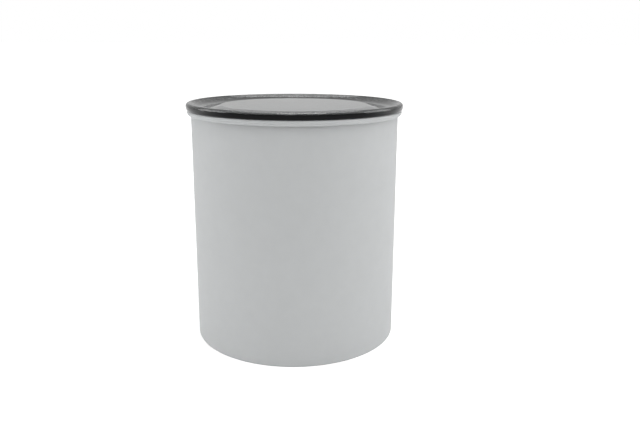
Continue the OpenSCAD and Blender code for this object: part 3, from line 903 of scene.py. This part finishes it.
def shaft_bushes():
    """Flanged bushes in the deck's ears."""
    flange_r, end = bush_r + 1.5, ear_t + 0.5
    shape = turned(outline(
        (shaft_hole_r, 0, 0.2), (bush_r, 0, 0.2), (bush_r, ear_t), (flange_r, ear_t, 0.1),
        (flange_r, end, 0.15), (shaft_hole_r, end, 0.15)), SMALL_TURNS)
    shape = both_sides(placed(shape, move(x=ear_x - ear_t / 2) @ along_x))
    piece("shaft_bushes", placed(shape, on_shaft), "plunger", "bush_plastic", bush_plastic)


def shaft_pins():
    """Cross pins that fix the shaft in the handle's hubs."""
    half_l = 6.3
    pin = rod(pin_r, 2 * half_l, 0.25, turns=24)
    shape = placed(pin, move(x=arm_x, z=-half_l), move(x=-arm_x, z=-half_l))
    piece("shaft_pins", placed(shape, on_shaft), "handle", "bright_steel", steel)


canister_wall()
canister_base()
lid_panel()
lid_ring()
plunger_deck()
plunger_plate()
wiper_gasket()
screws("plate_screws", plate_screw_places, height=deck_floor, length=6.8)
vent_filter()
valve_seat()
valve_housing()
screws("housing_screws", housing_screw_places, height=flange_top, length=6.6)
valve_stem()
valve_plug()
stem_clip()
valve_spring()
handle_bail()
cam_shaft()
shaft_bushes()
shaft_pins()


# Studio


def worked_out(tree, operation, *sockets):
    """A node that works out one value from others."""
    made = tree.nodes.new("ShaderNodeMath")
    made.operation = operation
    for source, socket in zip(sockets, made.inputs):
        tree.links.new(source, socket)
    return made.outputs[0]


def product(tree, first, second):
    """One value times another."""
    return worked_out(tree, "MULTIPLY", first, second)


def most(tree, first, *others):
    """The largest of several values."""
    for other in others:
        first = worked_out(tree, "MAXIMUM", first, other)
    return first


def ramp(tree, value, span, levels):
    """A smooth change from one level to another as a value goes over a span."""
    made = tree.nodes.new("ShaderNodeMapRange")
    made.interpolation_type = "SMOOTHSTEP"
    tree.links.new(value, made.inputs["Value"])
    names = ("From Min", "From Max", "To Min", "To Max")
    for name, number in zip(names, span + levels):
        made.inputs[name].default_value = number
    return made.outputs["Result"]


def vector_math(tree, operation, *values):
    """A node that works on vectors. Each value is a socket or a fixed vector."""
    made = tree.nodes.new("ShaderNodeVectorMath")
    made.operation = operation
    for value, socket in zip(values, made.inputs):
        if isinstance(value, tuple):
            socket.default_value = value
        else:
            tree.links.new(value, socket)
    return made.outputs


def part_y(tree, vector):
    """The Y part of a vector."""
    split = tree.nodes.new("ShaderNodeSeparateXYZ")
    tree.links.new(vector, split.inputs[0])
    return split.outputs["Y"]


def seen_rays(tree, shown_in_gloss):
    """How much of the backdrop a ray sees: all for the camera and through the lid, a share in reflections."""
    rays = tree.nodes.new("ShaderNodeLightPath").outputs
    gloss = product(tree, rays["Is Glossy Ray"], shown_in_gloss)
    return most(tree, rays["Is Camera Ray"], rays["Is Transmission Ray"], gloss)


def floor():
    """Pale floor. What is seen of it out of the canister's shadow is white."""
    size, near_glow, paint = 60, 0.2, 0.92
    glow_span, gloss_span, gloss_share = (0.3, 1.2), (-0.3, 0.3), 0.7
    mesh = bpy.data.meshes.new("floor")
    corners = [(-size, -size, 0), (size, -size, 0), (size, size, 0), (-size, size, 0)]
    mesh.from_pydata(corners, [], [(0, 1, 2, 3)])
    material = bpy.data.materials.new("floor")
    material.use_nodes = True
    tree = material.node_tree
    shader = tree.nodes["Principled BSDF"]
    shader.inputs["Base Color"].default_value = (paint, paint, paint, 1)
    shader.inputs["Roughness"].default_value = 0.9
    shader.inputs["Specular IOR Level"].default_value = 0
    shader.inputs["Emission Color"].default_value = (1, 1, 1, 1)
    place = tree.nodes.new("ShaderNodeTexCoord").outputs["Object"]
    glow = ramp(tree, vector_math(tree, "LENGTH", place)["Value"], glow_span, (near_glow, 1))
    seen = seen_rays(tree, ramp(tree, part_y(tree, place), gloss_span, (0, gloss_share)))
    tree.links.new(product(tree, seen, glow), shader.inputs["Emission Strength"])
    mesh.materials.append(material)
    made = bpy.data.objects.new("floor", mesh)
    bpy.context.scene.collection.objects.link(made)


def world():
    """Soft studio light with its own level from each side. Seen by itself it is white."""
    right, back, top, left, front = 0.1, 0.5, 0.1, 0.1, 0.1
    gloss_span, gloss_share = (0, 0.5), 0.2
    made = bpy.data.worlds.new("studio")
    bpy.context.scene.world = made
    made.use_nodes = True
    tree = made.node_tree
    direction = tree.nodes.new("ShaderNodeTexCoord").outputs["Generated"]
    shares = []
    for sign, levels in ((1, (right, back, top)), (-1, (left, front, 0))):
        facing = vector_math(tree, "MULTIPLY", direction, (sign, sign, sign))["Vector"]
        half = vector_math(tree, "MAXIMUM", facing, (0, 0, 0))["Vector"]
        square = vector_math(tree, "MULTIPLY", half, half)["Vector"]
        shares.append(vector_math(tree, "DOT_PRODUCT", square, levels)["Value"])
    light = tree.nodes["Background"]
    light.inputs["Color"].default_value = (1, 1, 1, 1)
    tree.links.new(worked_out(tree, "ADD", *shares), light.inputs["Strength"])

    white = tree.nodes.new("ShaderNodeBackground")
    white.inputs["Color"].default_value = (1, 1, 1, 1)
    mix = tree.nodes.new("ShaderNodeMixShader")
    seen = seen_rays(tree, ramp(tree, part_y(tree, direction), gloss_span, (0, gloss_share)))
    tree.links.new(seen, mix.inputs["Fac"])
    tree.links.new(light.outputs[0], mix.inputs[1])
    tree.links.new(white.outputs[0], mix.inputs[2])
    tree.links.new(mix.outputs[0], tree.nodes["World Output"].inputs["Surface"])


def softbox(name, place, size, power):
    """Square area lamp that faces the canister."""
    lamp = bpy.data.lights.new(name, "AREA")
    lamp.size = size
    lamp.energy = power
    made = bpy.data.objects.new(name, lamp)
    made.location = place
    middle = Vector((0, 0, lid_top * MM / 2))
    made.rotation_mode = "QUATERNION"
    made.rotation_quaternion = (Vector(place) - middle).to_track_quat("Z", "Y")
    bpy.context.scene.collection.objects.link(made)


def camera():
    """Camera at the place that the photograph was taken from, as worked out from the canister's outline."""
    distance, height = 0.56867, 0.24793
    pitch, yaw, roll = (math.radians(a) for a in (14.323, 2.1586, 0.2812))
    focal_px, width_px, sensor = 672.97, 640, 36
    ahead = Vector((math.sin(yaw) * math.cos(pitch), math.cos(yaw) * math.cos(pitch), -math.sin(pitch)))
    right = Vector((math.cos(yaw), -math.sin(yaw), 0))
    up = right.cross(ahead)
    right, up = (right * math.cos(roll) + up * math.sin(roll), up * math.cos(roll) - right * math.sin(roll))
    lens = bpy.data.cameras.new("camera")
    lens.sensor_width = sensor
    lens.lens = sensor * focal_px / width_px
    lens.clip_start = 0.01
    made = bpy.data.objects.new("camera", lens)
    made.matrix_world = Matrix.LocRotScale(
        Vector((0, -distance, height)), Matrix((right, up, -ahead)).transposed(), None)
    bpy.context.scene.collection.objects.link(made)
    bpy.context.scene.camera = made


floor()
world()
for name, x in (("key_left", -1.2), ("key_right", 1.2)):
    softbox(name, place=(x, 0.1, 0.5), size=0.9, power=5.9)
softbox("overhead", place=(0, 0.1, 1.45), size=1.5, power=16)
softbox("overhead_front", place=(0.1, -0.7, 1.3), size=0.9, power=11.4)
camera()
bpy.context.scene.view_settings.view_transform = "Standard"
